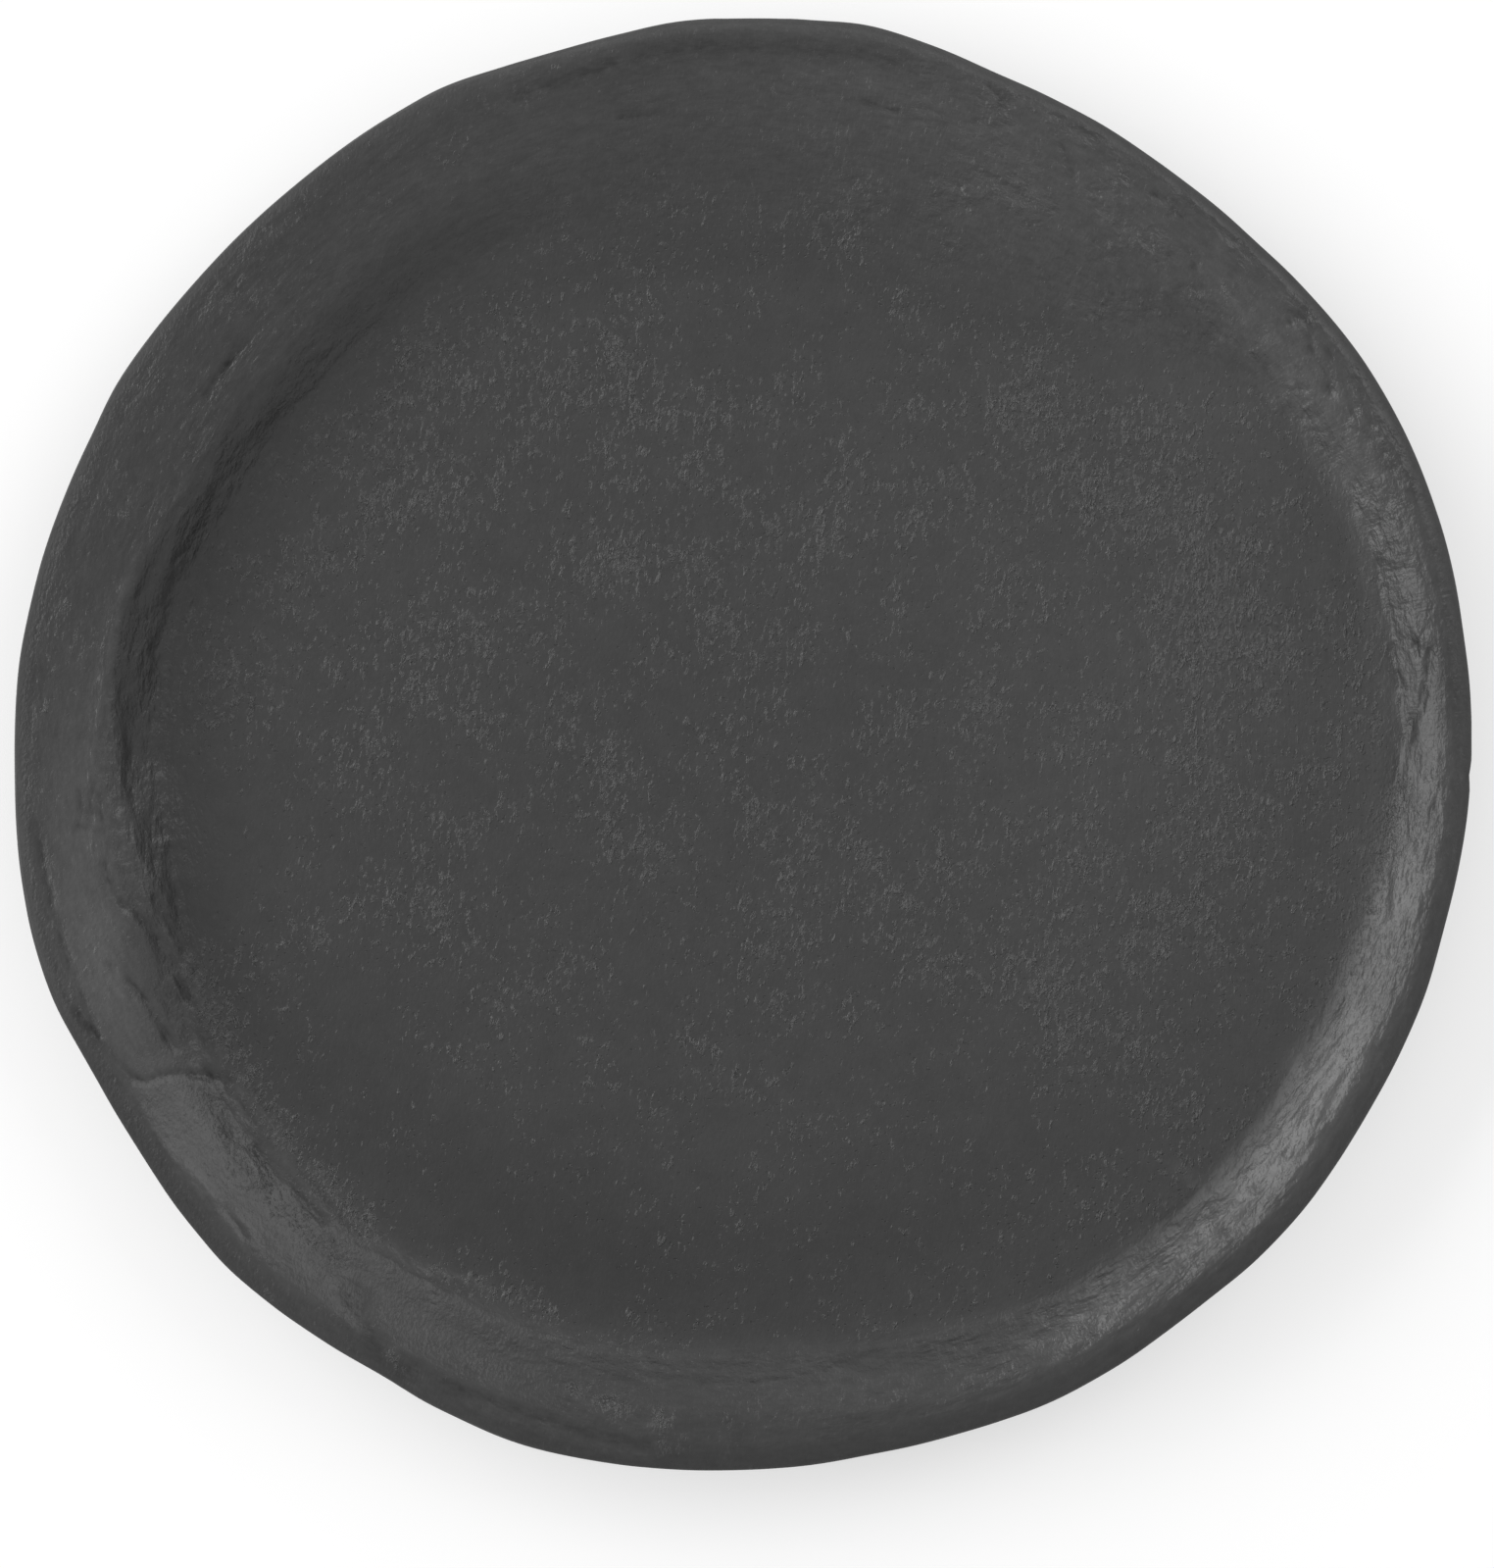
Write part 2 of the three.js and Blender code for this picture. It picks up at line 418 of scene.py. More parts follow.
# A closed piece from rings of points, on its body, in place of its CAD node
def closedPiece(name, rings, material, nodeName):
    firsts = np.cumsum([0] + [len(ring) for ring in rings])
    spans = [(int(first), len(ring)) for first, ring in zip(firsts, rings)]
    faces = [face for inner, outer in zip(spans, spans[1:]) for face in bridge(inner, outer)]
    mesh = bpy.data.meshes.new(name)
    mesh.from_pydata((np.concatenate(rings) * mm).tolist(), [], faces)
    mesh.polygons.foreach_set("use_smooth", [True] * len(mesh.polygons))
    mesh.materials.append(material)
    piece = bpy.data.objects.new(name, mesh)
    bpy.context.scene.collection.objects.link(piece)
    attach(piece, "root")
    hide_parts(nodeName)
    print(name, "has", len(mesh.vertices), "points and", len(faces), "faces")
    return piece


def smooth(values, low, high):
    t = np.clip((values - low) / (high - low), 0, 1)
    return t * t * (3 - 2 * t)


# Uneven clay, -1 to 1, with lumps of this size. Points may be any three columns.
def lumps(points, size, seed):
    smoothness, finer, octaves = 1.0, 2.0, 2
    seedShift = Vector((17.3, 5.1, 9.7)) * seed
    spots = (Vector(point) / size + seedShift for point in points.tolist())
    return np.array([noise.fractal(spot, smoothness, finer, octaves) for spot in spots])


# Points stretched so that lumps run along the rim
def drawnAlong(points, along, across):
    onAxis = 1e-6
    radius = np.maximum(np.hypot(points[:, 0], points[:, 1]), onAxis)
    ring = plateWide / 2 / along
    return np.stack([points[:, 0] / radius * ring, points[:, 1] / radius * ring, radius / across], axis=1)


# A strength that changes round the plate, from rows of (clockwise degrees from twelve o'clock, strength)
def roundClock(points, rows):
    clock = np.degrees(np.arctan2(points[:, 0], points[:, 1])) % 360
    degrees, strength = zip(*rows)
    return np.interp(clock, degrees, strength, period=360)


# Soft patches: rows of (clock, half its span in degrees, inset from the edge, half its width, amount)
def softPatches(points, inset, rows):
    total = np.zeros(len(points))
    clock = np.degrees(np.arctan2(points[:, 0], points[:, 1]))
    for middle, halfSpan, middleInset, halfWide, amount in rows:
        turn = (clock - middle + 180) % 360 - 180
        total += amount * np.exp(-(turn / halfSpan) ** 2 - ((inset - middleInset) / halfWide) ** 2)
    return total


# How far each point lies from a line through picture pixels
def awayFrom(points, line):
    away = np.full(len(points), np.inf)
    ends = [np.array(onPlate(spot)) for spot in line]
    for start, end in zip(ends, ends[1:]):
        run = end - start
        t = np.clip(((points[:, :2] - start) @ run) / (run @ run), 0, 1)
        away = np.minimum(away, np.linalg.norm(points[:, :2] - start - t[:, None] * run, axis=1))
    return away


# Marks of the hand in the clay: (height, half width, line through picture pixels), grooves are below zero
handMarks = [
    (-0.24, 0.45, [(133, 997), (146, 1016), (160, 1041), (176, 1068)]),  # long crack, eight o'clock
    (-0.27, 0.32, [(137, 1101), (152, 1102), (166, 1097), (190, 1096), (232, 1103)]),  # lap seam below it
    (0.15, 0.8, [(141, 575), (121, 625), (111, 685), (114, 735), (119, 795), (131, 860), (159, 910),
                 (174, 960)]),  # inner ridge of the left rim
    (-0.08, 0.8, [(157, 575), (137, 625), (127, 685), (130, 735), (135, 795), (148, 858), (176, 904),
                  (192, 953)]),
    (-0.18, 0.45, [(40, 840), (52, 905), (67, 960), (84, 1010), (103, 1056)]),  # crease beside the lip
    (0.08, 1.0, [(98, 1058), (137, 1106), (188, 1189), (231, 1240), (262, 1268)]),  # crest of the lip
    (-0.22, 0.35, [(84, 806), (86, 832)]),  # short cracks, nine o'clock
    (-0.22, 0.35, [(94, 808), (96, 838)]),
    (-0.2, 0.35, [(104, 812), (107, 836)]),
    (-0.2, 0.35, [(82, 843), (104, 848)]),
    (-0.24, 0.4, [(107, 880), (116, 905), (128, 925)]),
    (-0.2, 0.4, [(128, 905), (140, 930), (161, 958)]),
    (0.14, 0.4, [(150, 915), (168, 955), (185, 990)]),
    (-0.18, 0.4, [(158, 915), (176, 955), (193, 990)]),
    (-0.24, 1.2, [(352, 1312), (372, 1350), (395, 1390), (420, 1405)]),  # notch, seven o'clock
    (0.12, 0.35, [(171, 998), (181, 1014)]),
    (-0.2, 0.4, [(180, 1000), (196, 1034), (212, 1072)]),
    (-0.2, 0.45, [(82, 1034), (108, 1064), (138, 1099)]),
    (0.12, 0.35, [(186, 996), (199, 1014), (213, 1048), (223, 1076)]),
    (0.12, 0.35, [(270, 1140), (285, 1156), (299, 1173)]),
    (-0.12, 0.35, [(206, 1092), (222, 1110), (236, 1136)]),
    (-0.1, 0.35, [(244, 1128), (252, 1140), (262, 1152)]),
    (0.14, 0.35, [(240, 1108), (262, 1138), (284, 1166)]),
    (-0.16, 0.35, [(252, 1112), (272, 1140), (296, 1170)]),
    (0.14, 0.4, [(202, 1105), (213, 1120), (222, 1136)]),
    (-0.2, 0.4, [(214, 1124), (224, 1142), (232, 1158)]),
    (0.16, 0.4, [(231, 1125), (241, 1138), (250, 1153)]),
    (-0.2, 0.4, [(258, 1172), (272, 1190), (283, 1208)]),
    (0.16, 0.4, [(246, 1176), (258, 1194), (268, 1214)]),
    (-0.2, 0.4, [(296, 1214), (311, 1231), (326, 1246)]),
    (0.16, 0.4, [(320, 1202), (331, 1214), (341, 1226)]),
    (-0.16, 0.4, [(231, 1232), (240, 1245), (251, 1260)]),
    (0.14, 0.5, [(190, 1187), (205, 1203), (220, 1222)]),
    (-0.14, 0.4, [(330, 1230), (342, 1246), (357, 1262)]),  # torn edge of the rim
    (0.2, 0.4, [(288, 1184), (308, 1212), (334, 1240), (362, 1268), (402, 1282)]),
    (-0.18, 0.4, [(300, 1196), (318, 1216), (345, 1248), (372, 1270)]),
    (0.18, 0.4, [(410, 1292), (440, 1302), (470, 1308), (500, 1318)]),
    (-0.27, 0.5, [(1459, 664), (1457, 690), (1452, 716), (1444, 731), (1438, 753)]),  # strip end, right
    (-0.26, 0.4, [(1424, 660), (1425, 676), (1430, 697)]),
    (-0.24, 0.35, [(1446, 655), (1447, 668)]),
    (-0.14, 0.35, [(1459, 835), (1464, 819)]),
    (-0.2, 0.45, [(213, 405), (232, 376), (254, 350)]),  # crack, ten o'clock
    (-0.16, 0.4, [(634, 121), (650, 118), (668, 119)]),
    (-0.16, 0.45, [(864, 102), (893, 106), (926, 115)]),
    (-0.14, 0.6, [(660, 1474), (600, 1460), (538, 1440), (480, 1420), (422, 1393)]),  # lower crease
    (0.12, 0.5, [(660, 1484), (600, 1471), (538, 1451), (480, 1431)]),
    (-0.16, 0.45, [(1334, 326), (1336, 350), (1341, 375)]),  # wrinkles, two o'clock
    (-0.1, 0.45, [(1356, 357), (1356, 380), (1360, 399)]),
    (-0.24, 0.4, [(1311, 333), (1322, 322), (1331, 320)]),
    (-0.12, 0.4, [(1345, 371), (1354, 385), (1357, 402)]),
    (-0.2, 0.4, [(1176, 198), (1190, 203), (1200, 212)]),
    (-0.2, 0.4, [(1193, 218), (1205, 221)]),
    (0.16, 0.4, [(1253, 300), (1262, 312), (1272, 330)]),
    (-0.18, 0.45, [(1010, 88), (1017, 97), (1024, 106)]),
    (-0.16, 0.45, [(1084, 148), (1092, 168), (1096, 192)]),
    (0.12, 0.4, [(1195, 1186), (1212, 1201), (1236, 1220)]),
    (-0.16, 0.9, [(524, 102), (580, 81), (641, 62), (700, 50), (760, 47), (824, 50), (884, 58),
                  (946, 72)]),  # hollow behind the lip at the top
]
# Dents and knobs: (height, half width, picture pixel)
handSpots = [
    (-0.26, 1.5, (360, 1321)),
    (-0.24, 0.6, (116, 985)),
    (-0.24, 0.8, (1310, 1175)),
    (-0.24, 0.8, (1283, 1210)),
    (-0.24, 0.8, (1250, 1250)),
    (0.16, 0.6, (666, 1453)),
    (0.16, 0.7, (622, 1434)),
    (0.14, 0.5, (583, 1419)),
    (0.16, 0.6, (403, 1380)),
    (-0.2, 0.8, (1502, 791)),
    (-0.24, 0.5, (1219, 272)),
    (-0.24, 0.5, (1296, 372)),
]

# Where the flecks crowd or thin out: (pull, half width, line through picture pixels)
fleckCrowds = [
    (0.13, 7, [(1050, 420), (1130, 470), (1200, 540), (1255, 630)]),
    (0.08, 15, [(1235, 740), (1235, 900)]),
    (0.08, 6, [(400, 390), (560, 360), (690, 415)]),
    (0.08, 5, [(260, 330), (340, 330)]),
    (0.06, 6, [(330, 480), (430, 500)]),
    (0.1, 5, [(150, 640), (230, 680), (280, 735)]),
    (0.07, 4, [(420, 710), (470, 650)]),
    (0.07, 4, [(610, 570), (650, 580)]),
    (0.08, 4, [(740, 560), (840, 535)]),
    (0.22, 0.9, [(622, 760), (618, 815), (622, 868)]),  # scratches
    (0.18, 0.9, [(705, 735), (740, 785), (772, 835)]),
    (0.16, 0.9, [(880, 870), (905, 905), (930, 928)]),
    (0.1, 3, [(260, 965), (350, 935), (430, 920), (470, 960)]),
    (0.1, 1.5, [(600, 1100), (680, 1140), (720, 1060), (780, 1150)]),
    (0.05, 8, [(880, 930), (1000, 960)]),
    (-0.07, 22, [(600, 1230), (860, 1240)]),
    (-0.06, 13, [(330, 1100), (400, 1180)]),
    (-0.09, 8, [(230, 780), (260, 900)]),
    (-0.06, 9, [(740, 300), (800, 310)]),
    (0.09, 7, [(1085, 1010), (1150, 1050), (1190, 1110)]),
    (0.11, 4, [(560, 222), (640, 205), (740, 222), (860, 210)]),
    (-0.05, 6, [(1230, 1060), (1200, 1150)]),
    (0.3, 0.9, [(581, 1415), (588, 1420)]),  # flakes on the rim
    (0.3, 1.3, [(614, 1430), (632, 1437)]),
    (0.28, 1, [(670, 1440), (676, 1452)]),
    (0.28, 0.7, [(678, 1474), (681, 1480)]),
    (0.3, 0.8, [(400, 1382), (408, 1396)]),
    (0.3, 0.5, [(272, 1320), (280, 1326)]),
    (0.3, 0.5, [(49, 716), (49, 726)]),
    (0.3, 0.4, [(71, 615), (71, 621)]),
    (0.3, 0.4, [(128, 526), (132, 528)]),
    (0.2, 1.2, [(440, 1300), (500, 1318), (560, 1346)]),
    (0.2, 2.2, [(218, 1050), (258, 1115), (306, 1185), (372, 1255)]),  # torn inner edge, lower left
    (0.16, 1.6, [(190, 990), (214, 1040)]),
    (0.17, 1.7, [(204, 1116), (240, 1176), (286, 1234), (340, 1280)]),
    (0.16, 1.8, [(1432, 800), (1418, 860), (1396, 930), (1372, 1000)]),  # torn inner edge, right
]

# Glazed face: the well, wall, rim and outside of the plate
faceForm = {
    "spokes": 1200,
    "insideSpokes": 150,
    # stretches of the CAD sections, counted in their rings, with the size of their cells: well, hollow,
    # wall and rim, lip, turn under the edge, outside, base, then fillet and side of the foot ring
    "stretches": [(0, 3, 1.3), (3, 5, 0.8), (5, 11, 0.28), (11, 15, 0.25), (15, 17, 0.7), (17, 23, 1.4),
                  (23, 24, 1.4), (24, 25, 1.4), (25, 26, 1.4)],
    "cellAcross": 1.35,     # how long a cell may be round the plate, for each mm of that size
    "ringWell": 3,          # places along the CAD sections: end of the flat well
    "ringEdge": 15,         # widest point of the edge
    "ringUnder": 17,        # turn under the edge
    "ringBase": 23,         # start of the flat base
    "rimStart": (-0.1, 2.6),  # rings past the end of the well between which the worked rim begins
    "waveSize": 15,
    "rimWave": 0.13,
    "wellWave": 0.05,
    "pressSize": (8, 2),    # pressed lumps, along and across the rim
    "pressHeight": 0.24,
    "creaseSize": (2.4, 0.9),
    "creaseHeight": 0.1,
    "markFray": (1, 0.2),   # size of the frays along a mark's sides, and how far they go
    "markPatch": 2.4,       # size of the stretches in which a mark is deeper or shallower
    "markStrength": (0.95, 0.6),  # its mean and spread there
    "markLimits": (0.35, 1.25),
    "markShade": 2.6,      # painted light and shade of the marks: paler over each mm of a ridge, darker in grooves
    "breakWide": 0.6,       # half width over which that effect weakens
    "lipEdge": (0.4, 1.6),  # insets between which the matt edge of the lip ends
    "deepest": 0.27,        # no mark goes through the coat
    "lipSmooth": (0.1, 1.1),  # insets from the edge between which the smooth lip turns rough
    "rimFlecks": 0.25,      # share of the well's flecks on the rim and outside
    "crowdFlecks": 3,       # how fast a crowd brings them all back
    # strengths round the clock: fibres, crumples and drag lines
    "rough": [(0, 0.25), (20, 0.3), (60, 0.3), (82, 0.4), (90, 0.5), (95, 0.9), (132, 1.1), (150, 0.9),
              (165, 0.55), (188, 0.4), (205, 0.2), (215, 0.13), (240, 0.13), (252, 0.8), (265, 1.1),
              (295, 0.95), (312, 0.7), (330, 0.35)],
    "fold": [(0, 0.3), (15, 0.8), (24, 1.4), (45, 1.25), (60, 1.25), (80, 0.9), (92, 0.6), (108, 0.75),
             (120, 0.5), (150, 0.45), (165, 0.4), (190, 0.4), (215, 0.15), (238, 0.18), (255, 0.45),
             (300, 0.4), (320, 0.3), (340, 0.2)],
    "drag": [(0, 0), (18, 0.7), (32, 0.6), (45, 0.2), (62, 0.9), (85, 0.8), (92, 0.1), (128, 0.1),
             (140, 0.3), (160, 0.3), (178, 0.3), (235, 0.1), (250, 0.3), (280, 0.3), (300, 0.1),
             (330, 0)],
    # soft patches: smoother stretches of the rim
    "calm": [(285, 44, 6, 4.5, 0.85), (285, 50, 0.8, 1.5, 0.8), (252, 14, 4, 3, 0.5),
             (87, 5, 5, 3.5, 0.7), (130, 55, 0.8, 1.7, 0.95), (195, 45, 0.8, 1.7, 0.8)],
    # crumbled where the clay was torn
    "crumbled": [(232, 13, 11.2, 3, 0.8), (204, 18, 12.3, 2.4, 0.45), (250, 7, 14, 2, 0.25),
                 (114, 20, 9, 1.8, 0.4)],
    "matt": [(122, 38, 9.8, 1.8, 0.9)],
    "wiped": [(88, 32, 26, 20, 1)],
    # painted light: paler over ridges and the worked rim, along the bright band of the right wall and
    # over the right of the well
    "paintedLight": [(75, 50, 38, 26, 0.2), (10, 24, 3, 4, 0.24), (15, 12, 8, 4, 0.1), (30, 42, 10, 9, 0.2),
             (40, 20, 17, 5, 0.2), (50, 26, 6, 5.5, 0.28), (60, 13, 6.5, 3.5, 0.44),
             (60, 10, 8.5, 2, 0.2), (72, 8, 7, 1.5, 0.15), (92, 12, 11.5, 3, 0.12),
             (112, 28, 5.5, 3, 0.8), (120, 14, 5, 1.4, 0.25), (128, 20, 6.3, 2.4, 0.5),
             (136, 12, 6, 1.6, 0.2), (150, 10, 6, 2.5, 0.3), (172, 14, 9, 3.5, 0.17),
             (195, 16, 12.3, 2.5, 0.24), (226, 13, 12.5, 3, 0.2), (238, 24, 5.6, 3.6, 0.4),
             (240, 9, 5.6, 3.8, 0.32), (249, 6, 8, 4, 0.35), (252, 9, 5.5, 3.5, 0.25),
             (255, 8, 12, 2.8, 0.42), (270, 10, 9.7, 1.5, 0.15), (260, 15, 8, 3, 0.25),
             (262, 14, 7, 4, 0.3), (345, 14, 1.3, 0.8, 0.15)],
    # painted shade: darker in hollows, in the well's lower part and on parts of the lip, where it dims
    # their highlight
    "paintedShade": [(5, 18, 3.4, 0.9, 0.1), (48, 28, 0.9, 0.9, 0.3), (62, 10, 11.5, 1.2, 0.12),
             (74, 8, 11.5, 1.5, 0.1), (85, 4, 3.2, 1.6, 0.35), (92.5, 4, 7.6, 1.6, 0.45),
             (100, 9, 8.2, 1.2, 0.35), (142, 16, 10, 1.2, 0.2), (178, 24, 1, 1.8, 0.22),
             (180, 8, 6, 1.8, 0.12), (190, 45, 24, 8, 0.12), (195, 55, 22, 9, 0.16),
             (237, 14, 1.1, 1.4, 0.55), (245, 14, 17, 4, 0.12), (275, 32, 19, 4, 0.14),
             (282, 26, 15.5, 3, 0.06), (278, 28, 0.6, 1.6, 0.42), (305, 30, 4.5, 5, 0.13),
             (340, 24, 4.3, 1.6, 0.15)],
}


# 1 over the face and the outside, 0 from the flat base on
def aboveBase(place, form):
    return 1 - smooth(place, form["ringBase"] - 1, form["ringBase"])


# Shares of a point in the worked rim and in the outside wall, from its place along the section
def rimShares(place, form):
    start, full = form["rimStart"]
    toEdge = smooth(place, form["ringEdge"], form["ringUnder"])
    rim = smooth(place, form["ringWell"] + start, form["ringWell"] + full) * (1 - toEdge)
    return rim, toEdge * aboveBase(place, form)


# How much of the rim's roughness a point takes: the lip and some stretches stay smooth
def rimCalm(points, place, inset, form):
    calm = 1 - np.clip(softPatches(points, inset, form["calm"]), 0, 1)
    return rimShares(place, form)[0] * smooth(inset, *form["lipSmooth"]) * calm


def rimRough(points, place, inset, form):
    return rimCalm(points, place, inset, form) * roundClock(points, form["rough"])


# Height of the hand's marks, and the painted light and shade that go with them: paler over ridges, darker
# in grooves
def handWork(points, form):
    height, tone = np.zeros(len(points)), np.zeros(len(points))
    marks = [(tall, halfWide, awayFrom(points, line)) for tall, halfWide, line in handMarks]
    for tall, halfWide, spot in handSpots:
        marks.append((tall, halfWide, np.linalg.norm(points[:, :2] - onPlate(spot), axis=1)))
    fraySize, frayFar = form["markFray"]
    ragged = lumps(points, fraySize, seed=4) * frayFar
    mean, spread = form["markStrength"]
    strength = np.clip(mean + spread * lumps(points, form["markPatch"], seed=5), *form["markLimits"])
    for tall, halfWide, away in marks:
        mark = tall * strength * np.exp(-((away + ragged) / halfWide) ** 2)
        height += mark
        # painted light on a mark's ridge, painted shade in its groove
        tone += mark * form["markShade"] * min(1, form["breakWide"] / halfWide)
    return height, tone


# How far the worked surface stands out from the plain one
def faceRelief(points, place, inset, marks, form):
    rim, outside = rimShares(place, form)
    above = aboveBase(place, form)
    wave = form["rimWave"] * (rim + outside) + form["wellWave"]
    relief = lumps(points, form["waveSize"], seed=1) * wave * above
    press = lumps(drawnAlong(points, *form["pressSize"]), 1, seed=2)
    crease = lumps(drawnAlong(points, *form["creaseSize"]), 1, seed=3)
    worked = press * form["pressHeight"] + crease * form["creaseHeight"]
    relief += worked * rimRough(points, place, inset, form)
    relief += marks * (1 - outside) * above
    return np.maximum(relief, -form["deepest"])


# What the glaze reads at each point
def faceShares(points, place, inset, markShades, form):
    rim, outside = rimShares(place, form)
    # painted light and shade: paler and darker patches laid into the glaze colour
    paintedLightAndShade = softPatches(points, inset, form["paintedLight"]) - softPatches(points, inset, form["paintedShade"])
    folds = roundClock(points, form["fold"]) + softPatches(points, inset, form["crumbled"])
    matt = 1 - smooth(inset, *form["lipEdge"]) + softPatches(points, inset, form["matt"])
    crowd = sum(pull * np.exp(-(awayFrom(points, line) / wide) ** 2) for pull, wide, line in fleckCrowds)
    flecked = 1 - (1 - form["rimFlecks"]) * np.maximum(rim, outside)
    return {
        "roughShare": rimRough(points, place, inset, form),
        "dragShare": rim * smooth(inset, *form["lipSmooth"]) * roundClock(points, form["drag"]),
        # the painted light and shade of the patches
        "paintedLightShadeShare": paintedLightAndShade * (1 - outside),
        # the painted light and shade of the marks
        "markShadeShare": markShades * (1 - outside),
        "mattShare": matt * (1 - outside),
        "wellShare": np.maximum(flecked, np.clip(form["crowdFlecks"] * crowd, 0, 1)),
        "foldShare": rimCalm(points, place, inset, form) * folds,
        "wipeShare": softPatches(points, inset, form["wiped"]) * (1 - rim) * (1 - outside),
        "crowdShare": crowd,
    }


def glazedFace(form, material):
    cad = readSections("face_glaze")
    stretches = form["stretches"]
    end = stretches[-1][1]
    outer = moreSpokes(cad[:, :end + 1], form["spokes"])
    parts = [ringsEvenly(outer, *stretch) for stretch in stretches]
    cells = [cell for part, (_, _, cell) in zip(parts, stretches) for _ in range(part.shape[1])]
    cells.append(stretches[-1][2])
    endRing = np.concatenate([outer[:, end], np.full((len(outer), 1), end)], axis=1)
    rows = np.concatenate([*parts, endRing[:, None]], axis=1)
    spots = spunPoints(rows)
    around = np.roll(spots, -1, axis=0) - np.roll(spots, 1, axis=0)
    normals = np.cross(np.gradient(spots, axis=1), around)
    normals[:, 0] = (0, 0, 1)
    normals /= np.linalg.norm(normals, axis=2, keepdims=True)
    insets = rows[..., 0].max(axis=1, keepdims=True) - rows[..., 0]

    # each ring keeps as many spokes as its cells need
    rings, ways, ringPlaces, ringInsets = [], [], [], []
    for k, cell in enumerate(cells):
        count = spokesFor(rows[:, k, 0].mean(), form["spokes"], form["cellAcross"] * cell) if k else 1
        step = form["spokes"] // count
        rings.append(spots[::step, k])
        ways.append(normals[::step, k])
        ringPlaces.append(rows[::step, k, 2])
        ringInsets.append(insets[::step, k])
    counts = [len(ring) for ring in rings]
    points, ringPlace, inset = (np.concatenate(part) for part in (rings, ringPlaces, ringInsets))
    marks, markShades = handWork(points, form)
    relief = faceRelief(points, ringPlace, inset, marks, form)
    moved = points + np.concatenate(ways) * relief[:, None]
    moved = np.clip(moved, np.array(cadBox[0]) / mm, np.array(cadBox[1]) / mm)
    rings = np.split(moved, np.cumsum(counts)[:-1])

    # the hidden side of the coat, on the clay
    inside = cad[:, end + 1:]
    count = counts[-1]
    for k in range(inside.shape[1] - 1):
        count = count // 2 if count > form["insideSpokes"] else count
        rings.append(spunPoints(moreSpokes(inside[:, k:k + 1], count))[:, 0])
    rings.append(np.array([[0, 0, inside[0, -1, 1]]]))

    piece = closedPiece("glazedFace", rings, material, "face_glaze")
    hidden = np.zeros(len(piece.data.vertices) - len(points))
    for name, share in faceShares(points, ringPlace, inset, markShades, form).items():
        layer = piece.data.attributes.new(name, "FLOAT", "POINT")
        layer.data.foreach_set("value", np.concatenate([share, hidden]))


# Stoneware body under the coats, with the bare bearing face of the foot, and the coat inside the ring
bodyForm = {"spokes": 240}


def spunPiece(name, nodeName, spokes, material):
    cad = moreSpokes(readSections(nodeName), spokes)
    rings = np.moveaxis(spunPoints(cad), 1, 0)
    closedPiece(name, [rings[0][:1], *rings[1:-1], rings[-1][:1]], material, nodeName)


glaze = charcoalGlaze("charcoalGlaze", charcoalLook)
glazedFace(faceForm, glaze)
stoneware = bareStoneware("bareStoneware", clayLook)
spunPiece("stonewareBody", "clay_body", bodyForm["spokes"], stoneware)
spunPiece("glazedBase", "base_glaze", bodyForm["spokes"], glaze)

# Studio: pale floor, a wide soft lamp from the left and a weaker one from the upper right
studio = {
    "floorWide": 4.0,     # metres
    "floorTone": 0.45,    # as it lights the plate
    "floorGlow": 0.5,     # as the camera sees it: a steady white
    "floorShadow": 0.54,  # and a share that takes the shadow
    "skyLevel": 0.6,
    "lamps": [  # name, bearing and elevation in degrees, metres away, metres wide and high, watts
        ("keyLamp", 160, 28, 1.8, 2.2, 1.0, 24),
        ("fillLamp", 41, 32, 1.8, 1.0, 1.4, 8),
    ],
    "lens": 120,          # camera lens and sensor in mm
    "sensor": 36,
    "edgeLevel": 0.8,     # height of the plate's outline, as a share of its top
}


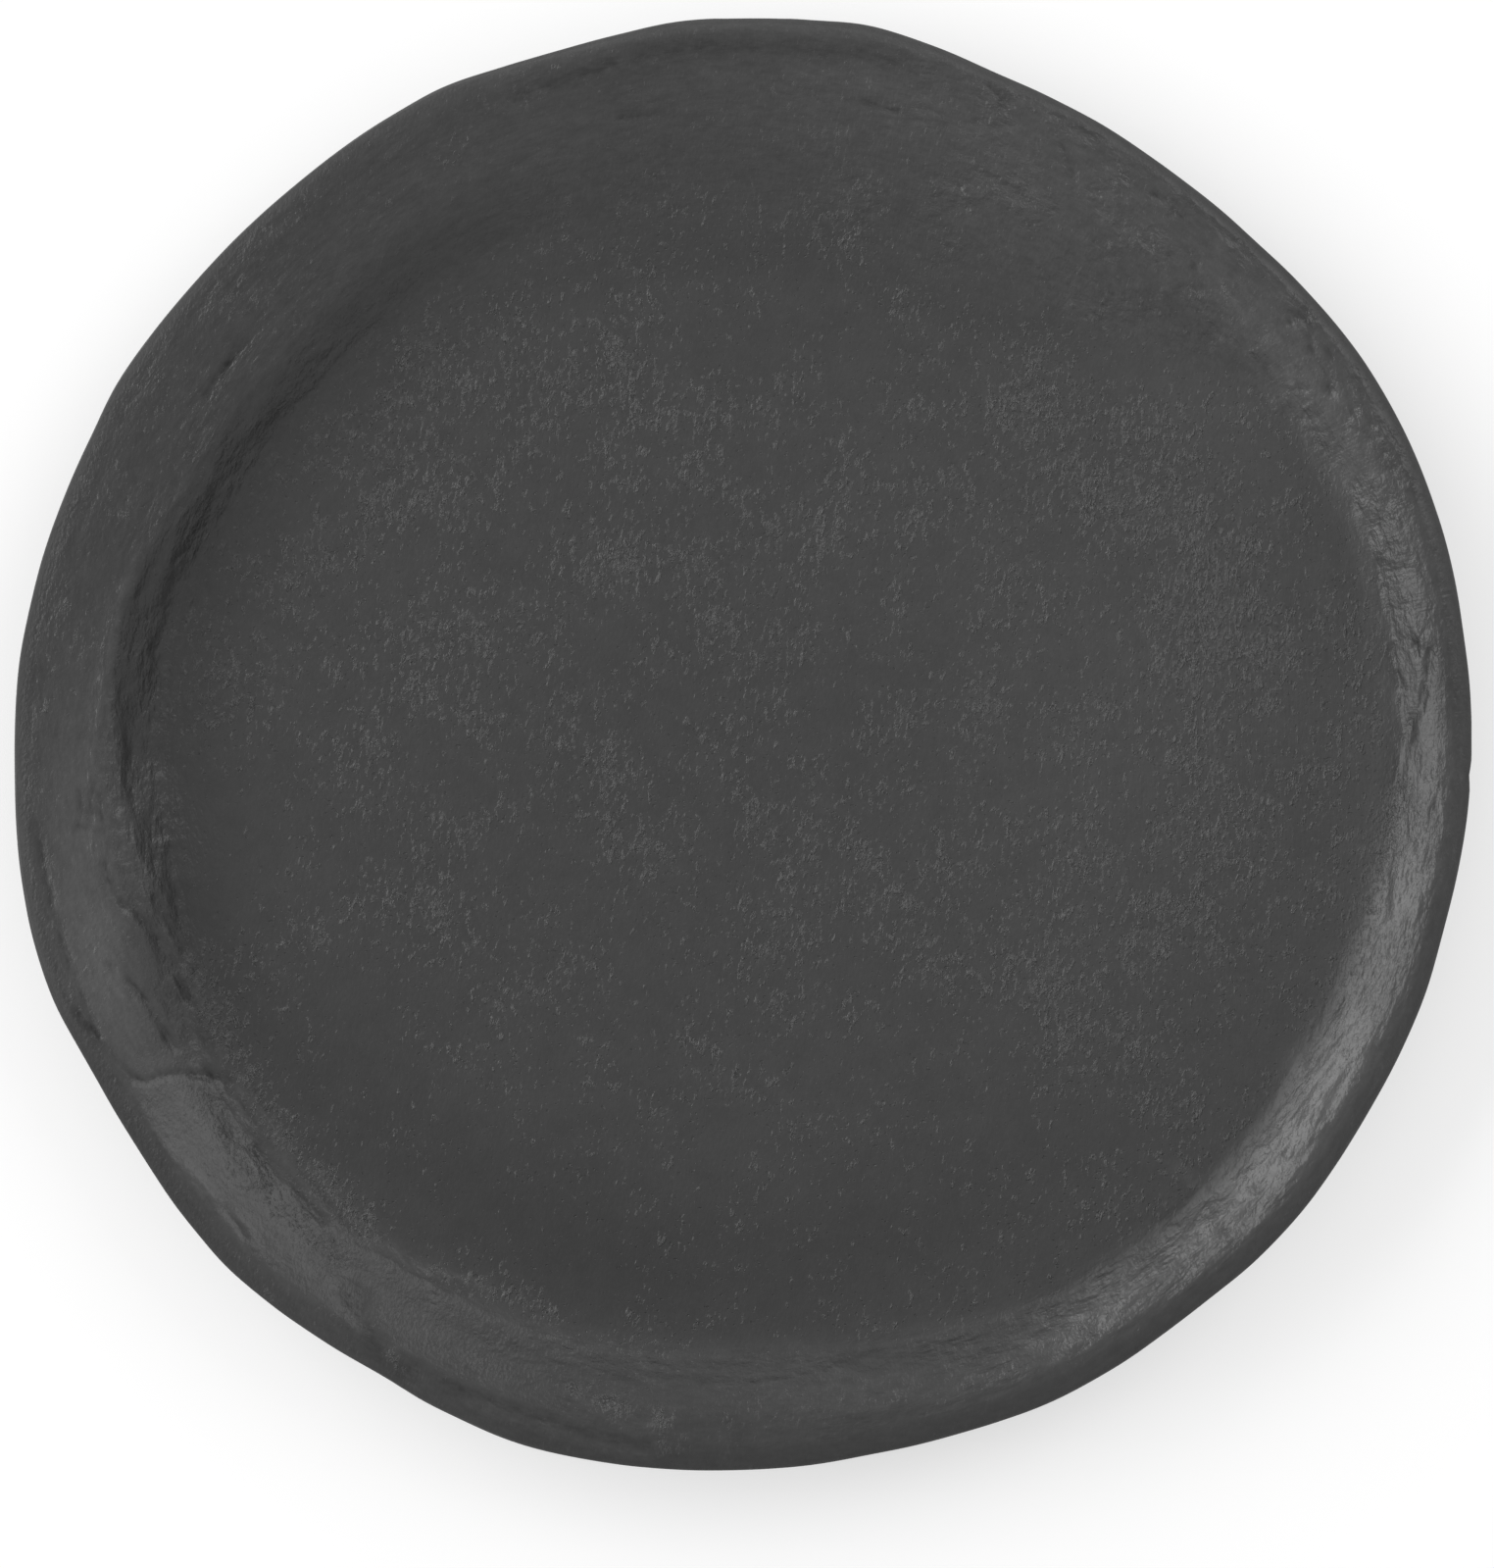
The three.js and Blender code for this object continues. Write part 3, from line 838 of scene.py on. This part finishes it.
def floorPaper(name, setup):
    material, wire = newMaterial(name)
    paper = wire.node("BsdfDiffuse", {}, {"Color": grey(setup["floorTone"])})
    glow = wire.node("Emission", {}, {"Color": grey(1), "Strength": setup["floorGlow"]})
    shadowed = wire.node("BsdfDiffuse", {}, {"Color": grey(setup["floorShadow"])})
    shown = wire.node("AddShader", {}, {0: glow, 1: shadowed})
    rays = wire.node("LightPath", output="Is Camera Ray")
    mirrored = rays.math("MAXIMUM", rays.other("Is Glossy Ray"), rays.other("Is Transmission Ray"))
    seen = rays.math("MAXIMUM", rays, mirrored)
    return closeMaterial(material, wire.node("MixShader", {}, {0: seen, 1: paper, 2: shown}))


def layFloor(setup):
    half = setup["floorWide"] / 2
    corners = [(-half, -half, 0), (half, -half, 0), (half, half, 0), (-half, half, 0)]
    mesh = bpy.data.meshes.new("floor")
    mesh.from_pydata(corners, [], [(0, 1, 2, 3)])
    mesh.materials.append(floorPaper("floorPaper", setup))
    floor = bpy.data.objects.new("floor", mesh)
    bpy.context.scene.collection.objects.link(floor)


def hangLamp(name, bearing, elevation, away, wide, high, watts):
    lamp = bpy.data.lights.new(name, "AREA")
    lamp.shape = "RECTANGLE"
    lamp.size, lamp.size_y, lamp.energy = wide, high, watts
    holder = bpy.data.objects.new(name, lamp)
    bpy.context.scene.collection.objects.link(holder)
    turn, rise = math.radians(bearing), math.radians(elevation)
    level = math.cos(rise)
    holder.location = Vector((level * math.cos(turn), level * math.sin(turn), math.sin(rise))) * away
    holder.rotation_euler = (-holder.location).to_track_quat("-Z", "Y").to_euler()


def lightSky(level):
    world = bpy.data.worlds.new("studioSky")
    bpy.context.scene.world = world
    world.use_nodes = True
    sky = world.node_tree.nodes["Background"]
    sky.inputs["Color"].default_value = grey(1)
    sky.inputs["Strength"].default_value = level


# The camera looks straight down on the well, over the middle of the picture and not of the plate
def setCamera(setup):
    camera = bpy.data.cameras.new("camera")
    camera.lens, camera.sensor_width = setup["lens"], setup["sensor"]
    holder = bpy.data.objects.new("camera", camera)
    bpy.context.scene.collection.objects.link(holder)
    middle = onPlate((picture["wide"] / 2, picture["high"] / 2))
    edgeLevel = setup["edgeLevel"] * plateTop
    away = picture["high"] * pixel * setup["lens"] / setup["sensor"]
    holder.location = Vector((middle[0], middle[1], edgeLevel + away)) * mm
    bpy.context.scene.camera = holder


layFloor(studio)
for lampRow in studio["lamps"]:
    hangLamp(*lampRow)
lightSky(studio["skyLevel"])
setCamera(studio)
bpy.context.scene.view_settings.view_transform = "Standard"
print("studio set")
